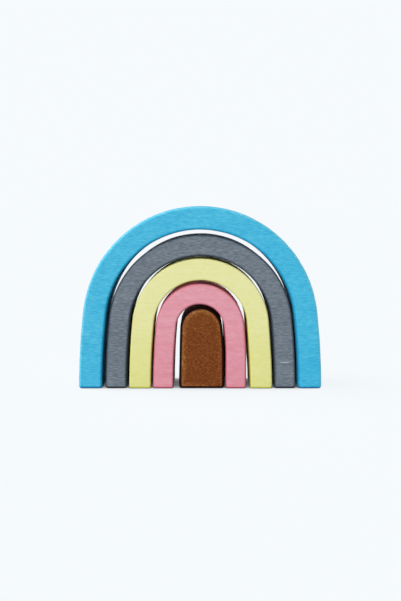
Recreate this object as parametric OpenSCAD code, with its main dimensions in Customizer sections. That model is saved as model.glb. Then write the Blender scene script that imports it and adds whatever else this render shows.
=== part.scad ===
// Rainbow stacker: four wooden arches that nest over a solid centre block.
// Every piece is sawn from one board, sanded round on all its edges and stands loose on its own feet.
// The pieces stand on z = 0. The board's length runs along x and its thickness along y.

/* [Board] */
// Thickness of the board that every piece is sawn from
board_d = 30; // [20:0.5:45]

/* [Centre block] */
// Width of the block across its foot
block_w = 29.8; // [22:0.2:44]
// Height of the block
block_h = 53.6; // [36:0.1:80]
// How far the left side of the block spreads below its crown
block_left_flare = 0.8; // [0.8:0.1:5]
// How far the right side of the block spreads below its crown
block_right_flare = 1.6; // [0.8:0.1:5]
// Radius sanded on the edges of the block
block_ease = 2; // [0.4:0.1:4]

/* [Inner arch] */
// Thickness of the inner arch
inner_wall = 13.6; // [8:0.2:20]
// How far the left leg of the inner arch spreads below its crown
inner_left_flare = 1.9; // [0.8:0.1:5]
// How far the right leg of the inner arch spreads below its crown
inner_right_flare = 1.3; // [0.8:0.1:5]
// Radius sanded on the edges of the inner arch
inner_ease = 1.6; // [0.4:0.1:3]
// Gap between the block and the left foot of the inner arch
inner_left_gap = 3.6; // [0.6:0.1:8]
// Gap between the block and the right foot of the inner arch
inner_right_gap = 0.8; // [0.6:0.1:8]
// Gap between the block and the crown of the inner arch
inner_crown_gap = 1.8; // [0.6:0.1:8]

/* [Third arch] */
// Thickness of the third arch
third_wall = 14.4; // [8:0.2:20]
// How far the left leg of the third arch spreads below its crown
third_left_flare = 1.8; // [0.8:0.1:5]
// How far the right leg of the third arch spreads below its crown
third_right_flare = 1.8; // [0.8:0.1:5]
// Radius sanded on the edges of the third arch
third_ease = 1.2; // [0.4:0.1:3]
// Gap between the left feet of the inner arch and the third arch
third_left_gap = 1.3; // [0.6:0.1:8]
// Gap between the right feet of the inner arch and the third arch
third_right_gap = 2.7; // [0.6:0.1:8]
// Gap between the crowns of the inner arch and the third arch
third_crown_gap = 2.3; // [0.6:0.1:8]

/* [Second arch] */
// Thickness of the second arch
second_wall = 14.2; // [8:0.2:20]
// How far the left leg of the second arch spreads below its crown
second_left_flare = 2; // [0.8:0.1:5]
// How far the right leg of the second arch spreads below its crown
second_right_flare = 2; // [0.8:0.1:5]
// Radius sanded on the edges of the second arch
second_ease = 2; // [0.4:0.1:3]
// Gap between the left feet of the third arch and the second arch
second_left_gap = 1.4; // [0.6:0.1:8]
// Gap between the right feet of the third arch and the second arch
second_right_gap = 1.4; // [0.6:0.1:8]
// Gap between the crowns of the third arch and the second arch
second_crown_gap = 1.5; // [0.6:0.1:8]

/* [Outer arch] */
// Thickness of the outer arch
outer_wall = 15.6; // [8:0.2:20]
// How far the left leg of the outer arch spreads below its crown
outer_left_flare = 2.2; // [0.8:0.1:5]
// How far the right leg of the outer arch spreads below its crown
outer_right_flare = 2.2; // [0.8:0.1:5]
// Radius sanded on the edges of the outer arch
outer_ease = 2; // [0.4:0.1:3]
// Gap between the left feet of the second arch and the outer arch
outer_left_gap = 2; // [0.6:0.1:8]
// Gap between the right feet of the second arch and the outer arch
outer_right_gap = 1.4; // [0.6:0.1:8]
// Gap between the crowns of the second arch and the outer arch
outer_crown_gap = 3.2; // [0.6:0.1:8]

/* [Hidden] */
$fn = 96;

// The set is sized from the inside out: each arch takes the piece inside it, a gap and its own wall.
// Feet are measured to the left and to the right from the middle of the block's foot.
block_feet = [block_w, block_w] / 2;
inner_feet = block_feet + [inner_left_gap, inner_right_gap] + [1, 1] * inner_wall;
third_feet = inner_feet + [third_left_gap, third_right_gap] + [1, 1] * third_wall;
second_feet = third_feet + [second_left_gap, second_right_gap] + [1, 1] * second_wall;
outer_feet = second_feet + [outer_left_gap, outer_right_gap] + [1, 1] * outer_wall;
inner_h = block_h + inner_crown_gap + inner_wall;
third_h = inner_h + third_crown_gap + third_wall;
second_h = third_h + second_crown_gap + second_wall;
outer_h = second_h + outer_crown_gap + outer_wall;

// The outer arch stands in the middle, and the block a little to the right of it
block_x = (outer_feet[0] - outer_feet[1]) / 2;

// Each outline has three centres: a crown arc, and a long leg arc on each side that runs into it
// smoothly and comes down upright at the top of the eased foot. Radii are kept to an eighth, and
// the angle where a leg runs into the crown to six digits of its cosine.
function eighth(x) = round(8 * x) / 8;
function settled(angle) = acos(round(1e6 * cos(angle)) / 1e6);
function crown_r(feet, flares) = eighth((feet[0] + feet[1] - flares[0] - flares[1]) / 2);
function crown_x(feet, flares) = (feet[1] - flares[1] - feet[0] + flares[0]) / 2;
function leg_rise(crown, height, ease) = height - crown - ease;
function leg_r(half, crown, height, ease) =
    eighth((half + crown + leg_rise(crown, height, ease) ^ 2 / (half - crown)) / 2);
function spring_angle(half, crown, height, ease) =
    settled(asin(leg_rise(crown, height, ease) / (leg_r(half, crown, height, ease) - crown)));

// How far the two halves of a crown lap over each other, in degrees
crown_lap = 10;
// How far the two halves of the block lap over each other below the crown
block_lap = 1;
// Room left round a foot, so that its easing meets the leg cleanly
foot_room = 0.01;

// A quarter of a disc, below and to the right of its centre
module quarter_round(r) {
    intersection() {
        circle(r);
        translate([0, -r]) square(r);
    }
}

// Section of a piece, reaching inwards from its outer face at x = 0, with its outer corners eased
module outer_section(reach, ease) {
    translate([-reach, -board_d / 2]) square([reach - ease, board_d]);
    translate([-reach, ease - board_d / 2]) square([reach, board_d - 2 * ease]);
    for (side = [-1, 1])
        translate([-ease, side * (board_d / 2 - ease)]) circle(ease);
}

// Section of an arch: the inner corners are eased too
module arch_section(wall, ease) {
    outer_section(wall - ease, ease);
    translate([-wall, ease - board_d / 2]) square([wall, board_d - 2 * ease]);
    for (side = [-1, 1])
        translate([ease - wall, side * (board_d / 2 - ease)]) circle(ease);
}

// Half an outline, from the crown's lap down past the floor. The first child is the section of the
// crown and the second that of the leg, and they share the plane where the two arcs meet.
module half_outline(half, crown, height, ease) {
    leg = leg_r(half, crown, height, ease);
    spring = spring_angle(half, crown, height, ease);
    leg_turn = spring + asin(2 * ease / leg);
    translate([0, 0, height - crown]) rotate([90, 0, 0]) rotate(spring) {
        rotate_extrude(angle = 90 - spring + crown_lap) translate([crown, 0]) children(0);
        translate([crown - leg, 0, 0])
            rotate_extrude(start = -leg_turn, angle = leg_turn) translate([leg, 0]) children(1);
    }
}

// A foot: a flat sole with every edge eased, as high as the easing
module foot(w, ease) {
    sole = [w - 2 * ease, board_d - 2 * ease] + [2, 2] * foot_room;
    translate([-sole.x / 2, -sole.y / 2, 0]) cube([sole.x, sole.y, ease]);
    for (turn = [0, 180]) rotate(turn) {
        translate([sole.x / 2, sole.y / 2, ease])
            rotate([90, 0, 0]) linear_extrude(sole.y) quarter_round(ease);
        translate([-sole.x / 2, sole.y / 2, ease])
            rotate([90, 0, 90]) linear_extrude(sole.x) quarter_round(ease);
        translate([sole.x / 2, sole.y / 2, ease])
            rotate_extrude(angle = 90) quarter_round(ease);
        translate([-sole.x / 2, sole.y / 2, ease])
            rotate(90) rotate_extrude(angle = 90) quarter_round(ease);
    }
}

// All the space that a piece may fill above the tops of its feet
module above_feet(reach, height, ease) {
    translate([-reach, -board_d, ease]) cube([2 * reach, 2 * board_d, height]);
}

// One arch: crown, two legs and two feet of one even thickness
module arch(feet, height, flares, wall, ease) {
    crown = crown_r(feet, flares);
    x = crown_x(feet, flares);
    halves = [feet[1] - x, feet[0] + x];
    translate([block_x + x, 0, 0]) intersection() {
        for (side = [0, 1]) mirror([side, 0, 0]) half_outline(halves[side], crown, height, ease) {
            arch_section(wall, ease);
            arch_section(wall, ease);
        }
        union() {
            above_feet(2 * crown, height, ease);
            for (side = [0, 1]) mirror([side, 0, 0])
                translate([halves[side] - wall / 2, 0, 0]) foot(wall, ease);
        }
    }
}

// The same outline filled in, on one foot as wide as the piece
module filled_arch(feet, height, flares, ease) {
    crown = crown_r(feet, flares);
    x = crown_x(feet, flares);
    halves = [feet[1] - x, feet[0] + x];
    translate([block_x + x, 0, 0]) intersection() {
        for (side = [0, 1]) mirror([side, 0, 0]) half_outline(halves[side], crown, height, ease) {
            outer_section(crown, ease);
            outer_section(halves[side] + block_lap, ease);
        }
        union() {
            above_feet(2 * crown, height, ease);
            translate([-x, 0, 0]) foot(feet[0] + feet[1], ease);
        }
    }
}

module centre_block() {
    color("#7A4622") filled_arch(block_feet, block_h, [block_left_flare, block_right_flare], block_ease);
}

module inner_arch() {
    color("#E19CAB")
        arch(inner_feet, inner_h, [inner_left_flare, inner_right_flare], inner_wall, inner_ease);
}

module third_arch() {
    color("#E4E4A0")
        arch(third_feet, third_h, [third_left_flare, third_right_flare], third_wall, third_ease);
}

module second_arch() {
    color("#737C87")
        arch(second_feet, second_h, [second_left_flare, second_right_flare], second_wall, second_ease);
}

module outer_arch() {
    color("#42B8DE")
        arch(outer_feet, outer_h, [outer_left_flare, outer_right_flare], outer_wall, outer_ease);
}

centre_block();
inner_arch();
third_arch();
second_arch();
outer_arch();
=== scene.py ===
"""Dresses the rainbow stacker: four coloured wooden arches that nest over a stained centre block.

Every piece is cut with a saw from a board whose grain runs level, along x. Its edges are sanded round by
hand and it is coloured with a thin coat that lets the grain show. Lengths are in metres.
"""

import logging
import math
from collections.abc import Callable
from dataclasses import dataclass, field
from enum import Enum
from functools import partial

import bpy
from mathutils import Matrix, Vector

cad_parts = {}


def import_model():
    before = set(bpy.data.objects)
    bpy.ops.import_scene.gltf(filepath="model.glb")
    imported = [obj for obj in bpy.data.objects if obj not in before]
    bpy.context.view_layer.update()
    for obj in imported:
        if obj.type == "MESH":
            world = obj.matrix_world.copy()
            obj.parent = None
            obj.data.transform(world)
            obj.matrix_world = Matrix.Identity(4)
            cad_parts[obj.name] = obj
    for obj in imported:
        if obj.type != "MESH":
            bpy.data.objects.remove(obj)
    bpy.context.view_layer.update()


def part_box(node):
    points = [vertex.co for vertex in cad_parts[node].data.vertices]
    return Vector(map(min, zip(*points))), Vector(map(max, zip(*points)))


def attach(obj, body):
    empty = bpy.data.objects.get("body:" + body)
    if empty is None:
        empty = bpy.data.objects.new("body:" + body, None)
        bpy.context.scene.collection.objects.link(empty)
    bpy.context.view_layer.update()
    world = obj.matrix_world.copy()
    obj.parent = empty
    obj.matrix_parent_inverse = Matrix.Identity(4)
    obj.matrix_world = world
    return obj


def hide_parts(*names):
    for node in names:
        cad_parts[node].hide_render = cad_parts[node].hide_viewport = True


LOG = logging.getLogger("rainbow_stacker")
MM = 0.001
LONG_SIDE_PX = 601
SENSOR_MM = 36.0

# Modelling: the axis of every sweep, the closest two points may lie, and the step that crown radii are kept to
SWEEP_AXIS = (0, 1, 0)
WELD = 0.001 * MM
RADIUS_STEP = 0.125 * MM
# A sole is rounded up to this turn, and a narrow chamfer, as a share of the easing, takes up the rest
SOLE_TURN = math.radians(80)
SOLE_CHAMFER = 0.1
# Edges that turn more than this are eased
SHARP = math.radians(40)
# A face counts as level or as flat where its normal lies this close to the axis
NEARLY, EXACTLY = 0.99, 0.999
# How strongly large faces keep their shading flat beside the rounded edges
FLAT_WEIGHT = 80
# Wavelength of the unevenness that hand sanding leaves, and how many easings above the floor it starts
SANDING_WAVE = 22 * MM
SANDING_START = 1.5
# Sides of the shape that knocks a nick out
NICK_STEPS = 24
# Vertex attribute of stain worn thin with painted light from the left, its share at mid width and the least anywhere
RUBBED_AND_LIT = "rubbed_and_lit"
RUBBED_AND_LIT_MIDDLE, RUBBED_AND_LIT_LEAST = 0.2, 0.1

# Coats: typical index of refraction, and how much rougher a fleck is than the wood between flecks
COAT_IOR = 1.5
FLECK_ROUGHNESS = 0.16
# Patches of uneven brushing: length and thickness in millimetres
CLOUD_MM = (24.0, 14.0)
# Finer layers that each pattern carries, and how strong these are
FLECK_DETAIL, STREAK_DETAIL, CLOUD_DETAIL = 2.0, 3.0, 1.0
DETAIL_STRENGTH = 0.55
# Shares of the raised grain, and its height
STREAK_RELIEF, FLECK_RELIEF = 0.6, 0.7
RELIEF_HEIGHT = 0.08 * MM
# Colour pools below the first height, and painted contact shade deepens the sole's edge between the other two
POOL_TOP = 60 * MM
SOLE_SHADE = (0.4 * MM, 1.8 * MM)
# Painted shade on rounded rims: brings a rim's weight to 1 where the edge has turned halfway,
# and the blend between outer and inner rims
RIM_SHADING_SCALE = 4.0
RIM_BLEND = 1 * MM
# Where the uncoated wood and painted highlight in a nick fade into the coat, as a share of the nick's size
BARE_AND_GLINT_FADE = (0.75, 1.15)


class Figure(Enum):
    """How the grain shows: length and thickness of a fleck and of a streak, in millimetres.

    Flecks of real lime wood are about 0.3 mm thick. They are drawn three times coarser, so that they
    still show in a picture of the whole toy.
    """

    PLAIN = ((3.6, 0.9), (30.0, 2.0))
    MOTTLED = ((1.5, 0.8), (9.0, 2.2))


class Ray(Enum):
    """Rays that see the bright backdrop instead of the light that falls on the pieces."""

    CAMERA = "Is Camera Ray"
    GLOSSY = "Is Glossy Ray"
    TRANSMISSION = "Is Transmission Ray"


def linear(hex_colour: str) -> tuple[float, float, float, float]:
    """Turns an sRGB hex colour into a linear one.

    Args:
        hex_colour: the colour as "#RRGGBB".

    Returns:
        Linear red, green, blue and an alpha of 1.
    """
    parts = [int(hex_colour[i : i + 2], 16) / 255 for i in (1, 3, 5)]
    return (*(c / 12.92 if c <= 0.04045 else ((c + 0.055) / 1.055) ** 2.4 for c in parts), 1.0)


def add_node(
    tree: bpy.types.NodeTree,
    kind: str,
    settings: dict | None = None,
    values: dict | None = None,
    links: dict | None = None,
) -> bpy.types.Node:
    """Adds one node, sets it and links it.

    Args:
        tree: node tree of a material or of the world.
        kind: the node's type name.
        settings: attributes of the node itself.
        values: constants, by the name or number of the input.
        links: sockets that feed the node, by the name or number of the input.

    Returns:
        The new node.
    """
    node = tree.nodes.new(kind)
    for key, value in (settings or {}).items():
        setattr(node, key, value)
    for key, value in (values or {}).items():
        node.inputs[key].default_value = value
    for key, socket in (links or {}).items():
        tree.links.new(socket, node.inputs[key])
    return node


def backdrop_rays(tree: bpy.types.NodeTree) -> bpy.types.NodeSocket:
    """Adds the test for rays that see the backdrop.

    Args:
        tree: node tree of the floor or of the world.

    Returns:
        A socket that is 1 for such a ray and 0 for any other.
    """
    light_path = add_node(tree, "ShaderNodeLightPath")
    seen = light_path.outputs[Ray.CAMERA.value]
    for ray in (Ray.GLOSSY, Ray.TRANSMISSION):
        either = add_node(
            tree, "ShaderNodeMath", {"operation": "MAXIMUM"}, links={0: seen, 1: light_path.outputs[ray.value]}
        )
        seen = either.outputs[0]
    return seen


@dataclass(frozen=True)
class Nick:
    """A small dent in a front face where the coat is knocked off, and how deep it sinks in."""

    x: float
    z: float
    half_length: float = 3.0 * MM
    half_width: float = 0.5 * MM
    sink: float = 0.45 * MM


@dataclass(frozen=True)
class WoodFinish:
    """A thin coat on sanded, close-grained hardwood.

    The coat is clear colour over pale wood, so where it lies deeper it looks stronger and darker, and
    where it is thin it looks paler. Flecks, streaks, pooling at the feet and wear on the edges all change that
    depth, and so do painted shade and light on the walls, the rounded rims, the sole's edge and the block's band.
    """

    name: str
    coat: str
    seed: float
    fleck: float
    streak: float
    cloud: float
    pooling: float
    # Rounded rims, as changes of depth: painted shade where positive; blue's paler outer rim is worn coat with a
    # painted highlight
    outer_rim_wear_and_shading: float
    inner_rim_shade: float
    roughness: float
    specular: float
    figure: Figure = Figure.PLAIN
    # Colour in a nick: uncoated wood, on the grey arch made paler as a painted highlight
    bare_and_glint: str = "#DCC9A6"
    end_grain: float = 0.15
    # Walls other than front and back: deeper stain in cut wood, plus painted shade that darkens the gaps between
    # pieces
    sawn_stain_and_shade: float = 0.8
    # Painted contact shade: extra depth on the sole's edge just above the floor
    sole: float = 1.6
    # Pale band marked on the mesh: worn stain, and painted light from the left
    rubbing_and_light: float = 0.0
    bump: float = 0.3

    def build(
        self, nicks: tuple[Nick, ...], front: float, centre: tuple[float, float, float]
    ) -> bpy.types.Material:
        """Makes the material.

        Args:
            nicks: dents in the front face that show bare wood.
            front: y of the front face.
            centre: middle of the crown's arc, which tells outer rims from inner ones.

        Returns:
            The finished material.
        """
        material = bpy.data.materials.new(self.name)
        material.diffuse_color = linear(self.coat)
        material.use_nodes = True
        tree = material.node_tree
        tree.nodes.clear()
        place = add_node(tree, "ShaderNodeTexCoord")
        spot = place.outputs["Object"]
        (fleck_long, fleck_thick), (streak_long, streak_thick) = self.figure.value
        flecks = self._noise(tree, spot, fleck_long, fleck_thick, FLECK_DETAIL)
        streaks = self._noise(tree, spot, streak_long, streak_thick, STREAK_DETAIL)
        clouds = self._noise(tree, spot, *CLOUD_MM, CLOUD_DETAIL)
        depth = self._depth(tree, place, centre, flecks, streaks, clouds)
        colour = add_node(
            tree, "ShaderNodeGamma", values={"Color": linear(self.coat)}, links={"Gamma": depth}
        ).outputs[0]
        for nick in nicks:
            colour = self._bare_and_glint_spot(tree, spot, colour, nick, front)
        sheen = self._weighted(tree, flecks, FLECK_ROUGHNESS, self.roughness - FLECK_ROUGHNESS / 2)
        relief = self._weighted(tree, streaks, STREAK_RELIEF, 0.0)
        relief = self._weighted(tree, flecks, FLECK_RELIEF, relief)
        bump = add_node(
            tree, "ShaderNodeBump", values={"Strength": self.bump, "Distance": RELIEF_HEIGHT}, links={"Height": relief}
        )
        surface = add_node(
            tree,
            "ShaderNodeBsdfPrincipled",
            values={"IOR": COAT_IOR, "Specular IOR Level": self.specular},
            links={"Base Color": colour, "Roughness": sheen, "Normal": bump.outputs[0]},
        )
        add_node(tree, "ShaderNodeOutputMaterial", links={"Surface": surface.outputs[0]})
        return material

    def _noise(
        self, tree: bpy.types.NodeTree, spot: bpy.types.NodeSocket, long_mm: float, thick_mm: float, detail: float
    ) -> bpy.types.NodeSocket:
        """Adds a noise that is drawn out along the grain.

        Args:
            tree: the material's node tree.
            spot: Object coordinates.
            long_mm: length of one patch along the grain.
            thick_mm: thickness of one patch across the grain.
            detail: how many finer layers it carries.

        Returns:
            A socket with values round 0.5.
        """
        along, across = 1 / (long_mm * MM), 1 / (thick_mm * MM)
        drawn = add_node(
            tree,
            "ShaderNodeMapping",
            values={"Location": (self.seed, 3 * self.seed, 7 * self.seed), "Scale": (along, across, across)},
            links={"Vector": spot},
        )
        noise = add_node(
            tree,
            "ShaderNodeTexNoise",
            values={"Scale": 1.0, "Detail": detail, "Roughness": DETAIL_STRENGTH},
            links={"Vector": drawn.outputs[0]},
        )
        return noise.outputs[0]

    def _weighted(
        self,
        tree: bpy.types.NodeTree,
        value: bpy.types.NodeSocket,
        weight: float,
        base: "bpy.types.NodeSocket | float",
    ) -> bpy.types.NodeSocket:
        """Adds value times weight to a base.

        Args:
            tree: the material's node tree.
            value: the socket to add.
            weight: what it is multiplied by.
            base: a socket or a number.

        Returns:
            The sum's socket.
        """
        values, links = {1: weight}, {0: value}
        (values if isinstance(base, float) else links)[2] = base
        return add_node(tree, "ShaderNodeMath", {"operation": "MULTIPLY_ADD"}, values, links).outputs[0]

    def _depth(
        self,
        tree: bpy.types.NodeTree,
        place: bpy.types.Node,
        centre: tuple[float, float, float],
        flecks: bpy.types.NodeSocket,
        streaks: bpy.types.NodeSocket,
        clouds: bpy.types.NodeSocket,
    ) -> bpy.types.NodeSocket:
        """Works out how deep the coat lies, where 1 is an even coat.

        Args:
            tree: the material's node tree.
            place: the texture coordinates.
            centre: middle of the crown's arc.
            flecks: fine grain.
            streaks: long grain.
            clouds: uneven brushing.

        Returns:
            The depth's socket.
        """
        height = add_node(tree, "ShaderNodeSeparateXYZ", links={0: place.outputs["Object"]})
        foot = add_node(
            tree,
            "ShaderNodeMapRange",
            {"interpolation_type": "SMOOTHSTEP"},
            {"From Min": 0.0, "From Max": POOL_TOP, "To Min": 1.0, "To Max": 0.0},
            {"Value": height.outputs["Z"]},
        )
        # Painted contact shade on the sole's edge
        sole = add_node(
            tree,
            "ShaderNodeMapRange",
            {"interpolation_type": "SMOOTHSTEP"},
            {"From Min": SOLE_SHADE[0], "From Max": SOLE_SHADE[1], "To Min": 1.0, "To Max": 0.0},
            {"Value": height.outputs["Z"]},
        )
        facing = add_node(tree, "ShaderNodeSeparateXYZ", links={0: place.outputs["Normal"]})
        square = {"operation": "MULTIPLY"}
        front = add_node(tree, "ShaderNodeMath", square, links={0: facing.outputs["Y"], 1: facing.outputs["Y"]})
        side = add_node(tree, "ShaderNodeMath", square, links={0: facing.outputs["X"], 1: facing.outputs["X"]})
        rest = add_node(tree, "ShaderNodeMath", {"operation": "SUBTRACT"}, {0: 1.0}, {1: front.outputs[0]})
        edge = add_node(tree, "ShaderNodeMath", square, links={0: front.outputs[0], 1: rest.outputs[0]})
        rim = self._rim_shading(tree, place, centre)
        rim = add_node(tree, "ShaderNodeMath", square, links={0: edge.outputs[0], 1: rim})
        depth = self._weighted(tree, flecks, 2 * self.fleck, 1.0 - self.fleck - self.streak - self.cloud)
        depth = self._weighted(tree, streaks, 2 * self.streak, depth)
        depth = self._weighted(tree, clouds, 2 * self.cloud, depth)
        depth = self._weighted(tree, foot.outputs[0], self.pooling, depth)
        depth = self._weighted(tree, sole.outputs[0], self.sole, depth)
        depth = self._weighted(tree, side.outputs[0], self.end_grain, depth)
        # Walls: deeper stain and painted shade
        depth = self._weighted(tree, rest.outputs[0], self.sawn_stain_and_shade, depth)
        # Rounded rims: painted shade, and on blue's outer rim worn coat and a painted highlight
        depth = self._weighted(tree, rim.outputs[0], RIM_SHADING_SCALE, depth)
        # Block's pale left band: worn stain and painted light from the left
        rubbed_and_lit = add_node(tree, "ShaderNodeAttribute", {"attribute_name": RUBBED_AND_LIT})
        return self._weighted(tree, rubbed_and_lit.outputs["Fac"], -self.rubbing_and_light, depth)

    def _rim_shading(
        self, tree: bpy.types.NodeTree, place: bpy.types.Node, centre: tuple[float, float, float]
    ) -> bpy.types.NodeSocket:
        """Picks a rounded rim's painted shading, a change of depth, by whether it faces out of the arch or into it.

        Args:
            tree: the material's node tree.
            place: the texture coordinates.
            centre: middle of the crown's arc.

        Returns:
            The change's socket.
        """
        arm = add_node(
            tree, "ShaderNodeVectorMath", {"operation": "SUBTRACT"}, {1: centre}, {0: place.outputs["Object"]}
        )
        level = add_node(
            tree, "ShaderNodeVectorMath", {"operation": "MULTIPLY"}, {1: (1, 0, 1)}, {0: arm.outputs[0]}
        )
        outward = add_node(
            tree,
            "ShaderNodeVectorMath",
            {"operation": "DOT_PRODUCT"},
            links={0: level.outputs[0], 1: place.outputs["Normal"]},
        )
        change = add_node(
            tree,
            "ShaderNodeMapRange",
            values={
                "From Min": -RIM_BLEND,
                "From Max": RIM_BLEND,
                "To Min": self.inner_rim_shade,
                "To Max": self.outer_rim_wear_and_shading,
            },
            links={"Value": outward.outputs["Value"]},
        )
        return change.outputs[0]

    def _bare_and_glint_spot(
        self,
        tree: bpy.types.NodeTree,
        spot: bpy.types.NodeSocket,
        colour: bpy.types.NodeSocket,
        nick: Nick,
        front: float,
    ) -> bpy.types.NodeSocket:
        """Shows uncoated wood inside a nick, in a colour that also paints its highlight.

        Args:
            tree: the material's node tree.
            spot: Object coordinates.
            colour: the coat's colour.
            nick: the dent.
            front: y of the front face.

        Returns:
            The colour with the uncoated, highlighted spot in it.
        """
        reach = (nick.half_length, nick.sink, nick.half_width)
        centre = (nick.x, front, nick.z)
        scaled = add_node(
            tree,
            "ShaderNodeMapping",
            values={"Location": tuple(-c / r for c, r in zip(centre, reach)), "Scale": tuple(1 / r for r in reach)},
            links={"Vector": spot},
        )
        far = add_node(tree, "ShaderNodeVectorMath", {"operation": "LENGTH"}, links={0: scaled.outputs[0]})
        share = add_node(
            tree,
            "ShaderNodeMapRange",
            values={"From Min": BARE_AND_GLINT_FADE[0], "From Max": BARE_AND_GLINT_FADE[1], "To Min": 1.0, "To Max": 0.0},
            links={"Value": far.outputs["Value"]},
        )
        mixed = add_node(
            tree,
            "ShaderNodeMix",
            {"data_type": "RGBA"},
            {7: linear(self.bare_and_glint)},
            {0: share.outputs[0], 6: colour},
        )
        return mixed.outputs[2]


@dataclass(frozen=True)
class SawWander:
    """A height on the right side where the saw ran a little off its line, or leant between the faces.

    The front and back halves shift by their own amounts. The shift is full near that height and fades
    to nothing at its reach.
    """

    z: float
    front: float
    back: float
    near: float = 2 * MM
    reach: float = 26 * MM


@dataclass(kw_only=True)
class WoodPiece:
    """What the arches and the block share: their CAD node, finish, easing and hand sanding."""

    node: str
    slot: str
    finish: WoodFinish
    flares: tuple[float, float]
    ease: float
    sanding: float = 0.3 * MM
    nicks: tuple[Nick, ...] = ()
    wander: SawWander | None = None
    crown_steps: int = 96
    leg_steps: int = 12
    ease_steps: int = 8
    left: float = field(init=False)
    right: float = field(init=False)
    height: float = field(init=False)
    depth: float = field(init=False)

    def __post_init__(self) -> None:
        """Takes the piece's outer sizes from its CAD node."""
        low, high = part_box(self.node)
        self.left, self.right = low.x, high.x
        self.height = high.z
        self.depth = high.y - low.y

    @property
    def crown_radius(self) -> float:
        """Radius of the crown's arc."""
        return round((self.right - self.left - sum(self.flares)) / 2 / RADIUS_STEP) * RADIUS_STEP

    @property
    def crown_centre(self) -> tuple[float, float, float]:
        """Middle of the crown's arc."""
        return ((self.left + self.flares[0] + self.right - self.flares[1]) / 2, 0, self.height - self.crown_radius)

    def leg_arc(self, half: float) -> tuple[float, float]:
        """Works out the long arc of one leg, which is upright at its foot and runs into the crown.

        Args:
            half: how far the foot stands out from the middle of the crown.

        Returns:
            How far outwards from that middle the arc's centre lies, and the angle the arc turns through.
        """
        rise, set_back = self.crown_centre[2] - self.ease, half - self.crown_radius
        radius = (half + self.crown_radius + rise**2 / set_back) / 2
        return half - radius, math.asin(rise / (radius - self.crown_radius))

    def start(self, width: float, depth: float, at: tuple[float, float, float]) -> bpy.types.Object:
        """Adds a plane to shape the piece from and leaves it in edit mode.

        Args:
            width: size along x.
            depth: size along y.
            at: middle of the plane.

        Returns:
            The new object.
        """
        bpy.ops.object.select_all(action="DESELECT")
        bpy.ops.mesh.primitive_plane_add(size=1, location=at, enter_editmode=True)
        bpy.ops.transform.resize(value=(width, depth, 1))
        piece = bpy.context.object
        piece.name = piece.data.name = self.node + "_wood"
        return piece

    def sweep(self) -> None:
        """Spins what is selected up the right leg, over the crown and down the left leg."""
        x, y, z = self.crown_centre
        right_out, right_turn = self.leg_arc(self.right - x)
        left_out, left_turn = self.leg_arc(x - self.left)
        for steps, turn, centre in (
            (self.leg_steps, right_turn, (x + right_out, y, self.ease)),
            (self.crown_steps, math.pi - right_turn - left_turn, (x, y, z)),
            (self.leg_steps, left_turn, (x - left_out, y, self.ease)),
        ):
            bpy.ops.mesh.spin(steps=steps, angle=turn, center=centre, axis=SWEEP_AXIS)

    def select_faces(self, piece: bpy.types.Object, wanted: Callable[[bpy.types.MeshPolygon], bool]) -> None:
        """Selects faces by their place or normal and leaves the piece in edit mode.

        Args:
            piece: the object that is being shaped.
            wanted: tells whether a face is selected.
        """
        bpy.ops.mesh.select_mode(type="FACE")
        bpy.ops.mesh.select_all(action="DESELECT")
        bpy.ops.object.mode_set(mode="OBJECT")
        for face in piece.data.polygons:
            face.select = wanted(face)
        bpy.ops.object.mode_set(mode="EDIT")

    def select_vertices(self, piece: bpy.types.Object, wanted: Callable[[bpy.types.MeshVertex], bool]) -> None:
        """Selects vertices by their place and leaves the piece in edit mode.

        Args:
            piece: the object that is being shaped.
            wanted: tells whether a vertex is selected.
        """
        bpy.ops.object.mode_set(mode="EDIT")
        bpy.ops.mesh.select_mode(type="VERT")
        bpy.ops.mesh.select_all(action="DESELECT")
        bpy.ops.object.mode_set(mode="OBJECT")
        for vertex in piece.data.vertices:
            vertex.select = wanted(vertex)
        bpy.ops.object.mode_set(mode="EDIT")

    def face_out(self) -> None:
        """Closes the seams of the mesh in edit mode and turns its faces outwards."""
        bpy.ops.mesh.select_all(action="SELECT")
        bpy.ops.mesh.remove_doubles(threshold=WELD)
        bpy.ops.mesh.normals_make_consistent(inside=False)

    def finish_piece(self, piece: bpy.types.Object) -> None:
        """Sands, dents, smooths and dresses the shaped piece, and ties it to its CAD body.

        Args:
            piece: the shaped object, in edit mode.
        """
        bpy.ops.object.mode_set(mode="OBJECT")
        bpy.ops.object.transform_apply(location=True, rotation=True, scale=True)
        if self.wander:
            self._saw_off_line(piece, self.wander)
        self._hand_sand(piece)
        for nick in self.nicks:
            self._dent(piece, nick)
        bpy.ops.object.shade_smooth()
        flats = piece.modifiers.new("keep_flats", "WEIGHTED_NORMAL")
        flats.weight = FLAT_WEIGHT
        bpy.ops.object.modifier_apply(modifier=flats.name)
        piece.data.materials.clear()
        piece.data.materials.append(self.finish.build(self.nicks, -self.depth / 2, self.crown_centre))
        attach(piece, self.node)
        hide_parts(self.node)

    def _saw_off_line(self, piece: bpy.types.Object, wander: SawWander) -> None:
        """Shifts the right side along x round one height, fading above and below it.

        Args:
            piece: the shaped object.
            wander: where the saw ran off, and how far at each face.
        """
        for side, shift in ((-1, wander.front), (1, wander.back)):
            self.select_vertices(piece, partial(self._is_off_line, wander, side))
            bpy.ops.transform.translate(
                value=(shift, 0, 0),
                use_proportional_edit=True,
                proportional_edit_falloff="SMOOTH",
                proportional_size=wander.reach,
            )
            bpy.ops.object.mode_set(mode="OBJECT")

    def _is_off_line(self, wander: SawWander, side: int, vertex: bpy.types.MeshVertex) -> bool:
        """Tells whether a vertex lies where the saw ran off, on one half of the board's thickness.

        Args:
            wander: where the saw ran off.
            side: -1 for the front half and 1 for the back half.
            vertex: the vertex of the shaped object.

        Returns:
            Whether it is on that half of the right side, close to the wander's height.
        """
        x, y, z = vertex.co
        on_the_right = x > self.crown_centre[0] + wander.near
        return on_the_right and side * y > 0 and abs(z - wander.z) < wander.near

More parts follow.
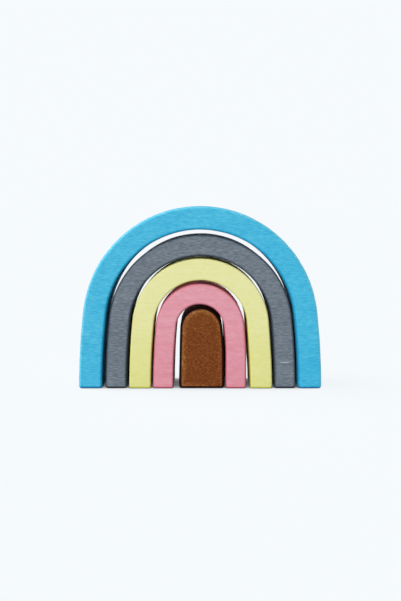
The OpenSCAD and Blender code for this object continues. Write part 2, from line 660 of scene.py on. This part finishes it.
    def _hand_sand(self, piece: bpy.types.Object) -> None:
        """Makes the outline a little uneven above the feet, as sanding by hand leaves it.

        Args:
            piece: the shaped object.
        """
        above = piece.vertex_groups.new(name="above_feet")
        above.add([v.index for v in piece.data.vertices if v.co.z > SANDING_START * self.ease], 1.0, "REPLACE")
        waves = bpy.data.textures.new(self.node + "_sanding", "CLOUDS")
        waves.noise_scale = SANDING_WAVE
        waves.noise_depth = 1
        uneven = piece.modifiers.new("hand_sanding", "DISPLACE")
        uneven.texture = waves
        uneven.texture_coords = "LOCAL"
        uneven.vertex_group = above.name
        uneven.strength = self.sanding
        uneven.mid_level = 0.5
        bpy.ops.object.modifier_apply(modifier=uneven.name)
        piece.vertex_groups.clear()

    def _dent(self, piece: bpy.types.Object, nick: Nick) -> None:
        """Cuts a nick out of the front face.

        Args:
            piece: the shaped object.
            nick: the dent.
        """
        bpy.ops.object.select_all(action="DESELECT")
        bpy.ops.mesh.primitive_uv_sphere_add(
            segments=NICK_STEPS, ring_count=NICK_STEPS // 2, radius=1, location=(nick.x, -self.depth / 2, nick.z)
        )
        cutter = bpy.context.object
        cutter.scale = (nick.half_length, nick.sink, nick.half_width)
        bpy.ops.object.transform_apply(location=True, rotation=True, scale=True)
        bpy.ops.object.select_all(action="DESELECT")
        piece.select_set(True)
        bpy.context.view_layer.objects.active = piece
        knock = piece.modifiers.new("nick", "BOOLEAN")
        knock.operation = "DIFFERENCE"
        knock.solver = "EXACT"
        knock.object = cutter
        bpy.ops.object.modifier_apply(modifier=knock.name)
        bpy.data.objects.remove(cutter)


@dataclass(kw_only=True)
class Arch(WoodPiece):
    """One arch, swept from the rounded section of its foot."""

    wall: float

    def build(self) -> bpy.types.Object:
        """Models and dresses the arch.

        Returns:
            The finished piece.
        """
        at = (self.right - self.wall / 2, 0, self.ease)
        piece = self.start(self.wall, self.depth, at)
        bpy.ops.mesh.bevel(offset=self.ease, segments=self.ease_steps, affect="VERTICES")
        self.sweep()
        self.face_out()
        self._ease_soles(piece)
        self.finish_piece(piece)
        return piece

    def _ease_soles(self, piece: bpy.types.Object) -> None:
        """Rounds the two end faces down to flat soles.

        Args:
            piece: the swept object, in edit mode.
        """
        self.select_faces(piece, lambda face: face.normal.z < -NEARLY and face.center.z < 2 * self.ease)
        turn = SOLE_TURN / self.ease_steps
        inset, drop = 0.0, 0.0
        for step in range(1, self.ease_steps + 1):
            new_inset = self.ease * (1 - math.cos(step * turn))
            new_drop = self.ease * math.sin(step * turn)
            bpy.ops.mesh.inset(thickness=new_inset - inset, depth=new_drop - drop)
            inset, drop = new_inset, new_drop
        bpy.ops.mesh.inset(thickness=SOLE_CHAMFER * self.ease, depth=self.ease - drop)


@dataclass(kw_only=True)
class CentreBlock(WoodPiece):
    """The solid round-topped block in the middle, drawn as an outline and pulled to the board's depth."""

    rim: float = 3.0 * MM

    def build(self) -> bpy.types.Object:
        """Models and dresses the block.

        Returns:
            The finished piece.
        """
        speck = 1 * MM
        piece = self.start(speck, speck, (self.right, -self.depth / 2, self.ease))
        bpy.ops.mesh.merge(type="CENTER")
        self.sweep()
        self._lower_ends(piece)
        bpy.ops.mesh.select_all(action="SELECT")
        bpy.ops.mesh.edge_face_add()
        bpy.ops.mesh.inset(thickness=self.ease + self.rim)
        bpy.ops.mesh.select_all(action="SELECT")
        bpy.ops.mesh.extrude_region_move(TRANSFORM_OT_translate={"value": (0, self.depth, 0)})
        self.face_out()
        bpy.ops.mesh.select_mode(type="EDGE")
        bpy.ops.mesh.select_all(action="DESELECT")
        bpy.ops.mesh.edges_select_sharp(sharpness=SHARP)
        bpy.ops.mesh.bevel(offset=self.ease, segments=self.ease_steps, affect="EDGES")
        self._rub_and_light_rims(piece)
        self.finish_piece(piece)
        return piece

    def _lower_ends(self, piece: bpy.types.Object) -> None:
        """Sets both ends of the swept outline on the floor.

        Args:
            piece: the outline, in edit mode, with its ends at its own zero height.
        """
        self.select_vertices(piece, lambda vertex: vertex.co.z < 10 * WELD)
        bpy.ops.transform.translate(value=(0, 0, -self.ease))

    def _rub_and_light_rims(self, piece: bpy.types.Object) -> None:
        """Marks a band inside the left rim of both faces, fading over the crown: worn stain and painted light.

        Args:
            piece: the bevelled object, in edit mode.
        """
        bpy.ops.object.mode_set(mode="OBJECT")
        flats = [face for face in piece.data.polygons if abs(face.normal.y) > EXACTLY]
        largest = sorted(flats, key=lambda face: face.area)[-2:]
        inside = {vertex for face in largest for vertex in face.vertices}
        band = piece.data.attributes.new(RUBBED_AND_LIT, "FLOAT", "POINT")
        half = (self.right - self.left) / 2
        values = []
        for vertex in piece.data.vertices:
            leftwards = -vertex.co.x / half
            share = min(max(RUBBED_AND_LIT_MIDDLE + leftwards, RUBBED_AND_LIT_LEAST), 1.0)
            values.append(0.0 if vertex.index in inside else share)
        band.data.foreach_set("value", values)
        bpy.ops.object.mode_set(mode="EDIT")


@dataclass(frozen=True)
class SoftSun:
    """An even lamp far away, and how many degrees wide it is seen from the pieces."""

    name: str
    towards: tuple[float, float, float]
    strength: float
    angle: float

    def build(self) -> bpy.types.Object:
        """Adds the lamp.

        Returns:
            The lamp's object.
        """
        bpy.ops.object.light_add(type="SUN")
        lamp = bpy.context.object
        lamp.name = self.name
        lamp.data.energy = self.strength
        lamp.data.angle = math.radians(self.angle)
        lamp.rotation_euler = Vector(self.towards).to_track_quat("Z", "Y").to_euler()
        return lamp


@dataclass
class Studio:
    """Pale floor, even backdrop and windows on four sides, the front and top ones to the left."""

    backdrop: str = "#F6FAFD"
    sky: float = 0.08
    card: float = 0.2
    floor_light: float = 0.8
    floor_glow: float = 0.93
    floor_half: float = 60.0
    floor_behind: float = 25.0
    shade_reach: float = 60 * MM
    shade_from: float = -0.015
    shade_to: float = 0.56
    shade_samples: int = 24
    suns: tuple[SoftSun, ...] = (
        SoftSun("front_window", (-0.30, -0.94, 0.045), 2.6, 4.0),
        SoftSun("top_window", (-0.55, 0.05, 0.83), 2.2, 40.0),
        SoftSun("back_window", (0.36, 0.93, 0.02), 2.1, 12.0),
        SoftSun("right_window", (0.93, 0.32, 0.15), 1.3, 12.0),
    )

    def build(self) -> bpy.types.Object:
        """Makes the world, the lamps and the floor.

        Returns:
            The floor.
        """
        bpy.context.scene.view_settings.view_transform = "Standard"
        self._world()
        for sun in self.suns:
            sun.build()
        bpy.ops.object.select_all(action="DESELECT")
        # The floor lies off centre, so that the seam between its two triangles stays away from the pieces
        bpy.ops.mesh.primitive_plane_add(size=2 * self.floor_half, location=(0, self.floor_behind, 0))
        floor = bpy.context.object
        floor.name = "pale_floor"
        floor.data.materials.append(self._paper())
        return floor

    def _world(self) -> None:
        """Gives the eye an even backdrop and the pieces a softer sky."""
        world = bpy.data.worlds.new("studio_sky")
        bpy.context.scene.world = world
        world.use_nodes = True
        tree = world.node_tree
        tree.nodes.clear()
        sky = add_node(tree, "ShaderNodeBackground", values={"Color": (1, 1, 1, 1), "Strength": self.sky})
        seen = add_node(tree, "ShaderNodeBackground", values={"Color": linear(self.backdrop), "Strength": 1.0})
        mixed = add_node(
            tree, "ShaderNodeMixShader", links={0: backdrop_rays(tree), 1: sky.outputs[0], 2: seen.outputs[0]}
        )
        add_node(tree, "ShaderNodeOutputWorld", links={"Surface": mixed.outputs[0]})

    def _paper(self) -> bpy.types.Material:
        """Makes the floor's pale card, which looks like the backdrop and keeps the pieces' shadow.

        Returns:
            The material.
        """
        # Matt card without any grain: white to the eye, and grey only close beside and under the pieces,
        # where ambient occlusion paints shade
        material = bpy.data.materials.new("matt_white_card")
        material.use_nodes = True
        tree = material.node_tree
        tree.nodes.clear()
        colour = linear(self.backdrop)
        card = add_node(tree, "ShaderNodeBsdfDiffuse", values={"Color": (self.card, self.card, self.card, 1.0)})
        shaded = add_node(
            tree, "ShaderNodeBsdfDiffuse", values={"Color": (*(c / self.floor_light for c in colour[:3]), 1.0)}
        )
        # Painted shade: ambient occlusion dims the glowing floor close beside and under the pieces
        open_sky = add_node(
            tree, "ShaderNodeAmbientOcclusion", {"samples": self.shade_samples}, {"Distance": self.shade_reach}
        )
        bright = add_node(
            tree,
            "ShaderNodeMapRange",
            values={"From Min": self.shade_from, "From Max": self.shade_to, "To Min": 0.0, "To Max": 1.0},
            links={"Value": open_sky.outputs["AO"]},
        )
        glow = add_node(tree, "ShaderNodeEmission", values={"Color": colour}, links={"Strength": bright.outputs[0]})
        seen = add_node(
            tree, "ShaderNodeMixShader", values={0: self.floor_glow}, links={1: shaded.outputs[0], 2: glow.outputs[0]}
        )
        mixed = add_node(
            tree, "ShaderNodeMixShader", links={0: backdrop_rays(tree), 1: card.outputs[0], 2: seen.outputs[0]}
        )
        add_node(tree, "ShaderNodeOutputMaterial", links={"Surface": mixed.outputs[0]})
        return material


@dataclass
class ProductCamera:
    """A level camera a little below the top of the nest, straight in front of it."""

    place: tuple[float, float, float] = (0.00023, -0.469, 0.1179)
    focal_px: float = 690.0
    horizon_px: float = 91.0
    clip: tuple[float, float] = (0.01, 200.0)

    def build(self) -> bpy.types.Object:
        """Adds the camera and makes it the scene's own.

        Returns:
            The camera's object.
        """
        bpy.ops.object.camera_add(location=self.place, rotation=(math.pi / 2, 0, 0))
        camera = bpy.context.object
        camera.data.sensor_width = SENSOR_MM
        camera.data.lens = self.focal_px / LONG_SIDE_PX * SENSOR_MM
        camera.data.shift_y = -self.horizon_px / LONG_SIDE_PX
        camera.data.clip_start, camera.data.clip_end = self.clip
        bpy.context.scene.camera = camera
        return camera


# Clear sky blue over pale wood: fine level flecks, a paler outer rim of worn coat and painted highlight,
# and inner rims deepened as painted shade
BLUE = WoodFinish(
    name="sky_blue_stained_lime_wood",
    coat="#42B8DE",
    seed=1.3,
    fleck=0.42,
    streak=0.16,
    cloud=0.08,
    pooling=0.05,
    outer_rim_wear_and_shading=-0.4,
    inner_rim_shade=0.40,
    roughness=0.6,
    specular=0.2,
    end_grain=0.0,
    sawn_stain_and_shade=0.1,
)
# Slate grey: short dark dashes of grain, and walls darkened by deeper stain and by painted shade,
# so that the gaps beside it look black
GREY = WoodFinish(
    name="slate_grey_stained_lime_wood",
    coat="#6C7782",
    seed=2.9,
    fleck=0.46,
    streak=0.16,
    cloud=0.05,
    pooling=0.0,
    outer_rim_wear_and_shading=0.10,
    inner_rim_shade=0.15,
    roughness=0.65,
    specular=0.2,
    # Pale blue-white nick: uncoated wood with its highlight painted in
    bare_and_glint="#E4EAEE",
)
# Pale lemon: almost even, with faint flecks, and stronger in colour towards the feet
YELLOW = WoodFinish(
    name="pale_yellow_stained_lime_wood",
    coat="#E8E8A8",
    seed=4.1,
    fleck=0.30,
    streak=0.14,
    cloud=0.08,
    pooling=0.34,
    outer_rim_wear_and_shading=0.0,
    inner_rim_shade=0.30,
    roughness=0.65,
    specular=0.2,
    sawn_stain_and_shade=0.5,
)
# Soft pink: faint flecks, a little redder towards the feet where the colour gathers, and redder
# on the rims and the sole's edge as painted shade
PINK = WoodFinish(
    name="pink_stained_lime_wood",
    coat="#E29CAA",
    seed=5.7,
    fleck=0.28,
    streak=0.14,
    cloud=0.06,
    pooling=0.12,
    outer_rim_wear_and_shading=0.08,
    inner_rim_shade=0.10,
    roughness=0.65,
    specular=0.2,
    sawn_stain_and_shade=0.7,
    sole=0.9,
)
# Dark oil on the block: a fine warm mottle, a pale left band of worn stain and painted light,
# and rounded edges painted nearly black as shade
BROWN = WoodFinish(
    name="brown_oil_stained_lime_wood",
    coat="#784016",
    seed=6.3,
    fleck=0.58,
    streak=0.14,
    cloud=0.05,
    pooling=0.04,
    outer_rim_wear_and_shading=3.0,
    inner_rim_shade=3.0,
    roughness=0.6,
    specular=0.08,
    figure=Figure.MOTTLED,
    sawn_stain_and_shade=1.1,
    rubbing_and_light=0.28,
)


def main() -> None:
    """Builds the set from the block outwards, then the studio and the camera."""
    logging.basicConfig(level=logging.INFO, format="%(name)s: %(message)s")
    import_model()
    pieces = (
        CentreBlock(
            node="centre_block",
            slot="brown_stain",
            finish=BROWN,
            flares=(0.8 * MM, 1.6 * MM),
            ease=2.0 * MM,
            wander=SawWander(z=27 * MM, front=0.6 * MM, back=0.6 * MM),
        ),
        Arch(
            node="inner_arch",
            slot="pink_paint",
            finish=PINK,
            flares=(1.9 * MM, 1.3 * MM),
            ease=1.6 * MM,
            wall=13.6 * MM,
            wander=SawWander(z=29 * MM, front=0.5 * MM, back=0.1 * MM),
        ),
        Arch(
            node="third_arch",
            slot="yellow_paint",
            finish=YELLOW,
            flares=(1.8 * MM, 1.8 * MM),
            ease=1.2 * MM,
            wall=14.4 * MM,
            wander=SawWander(z=30 * MM, front=-0.2 * MM, back=-0.9 * MM),
        ),
        Arch(
            node="second_arch",
            slot="grey_paint",
            finish=GREY,
            flares=(2.0 * MM, 2.0 * MM),
            ease=2.0 * MM,
            wall=14.2 * MM,
            nicks=(Nick(x=55.6 * MM, z=17.2 * MM),),
        ),
        Arch(
            node="outer_arch",
            slot="blue_paint",
            finish=BLUE,
            flares=(2.2 * MM, 2.2 * MM),
            ease=2.0 * MM,
            wall=15.6 * MM,
        ),
    )
    for piece in pieces:
        made = piece.build()
        LOG.info("%s: %d faces, %s", made.name, len(made.data.polygons), piece.finish.name)
    floor = Studio().build()
    LOG.info("%s laid", floor.name)
    camera = ProductCamera().build()
    LOG.info("camera with a %.1f mm lens", camera.data.lens)


if __name__ == "__main__":
    main()
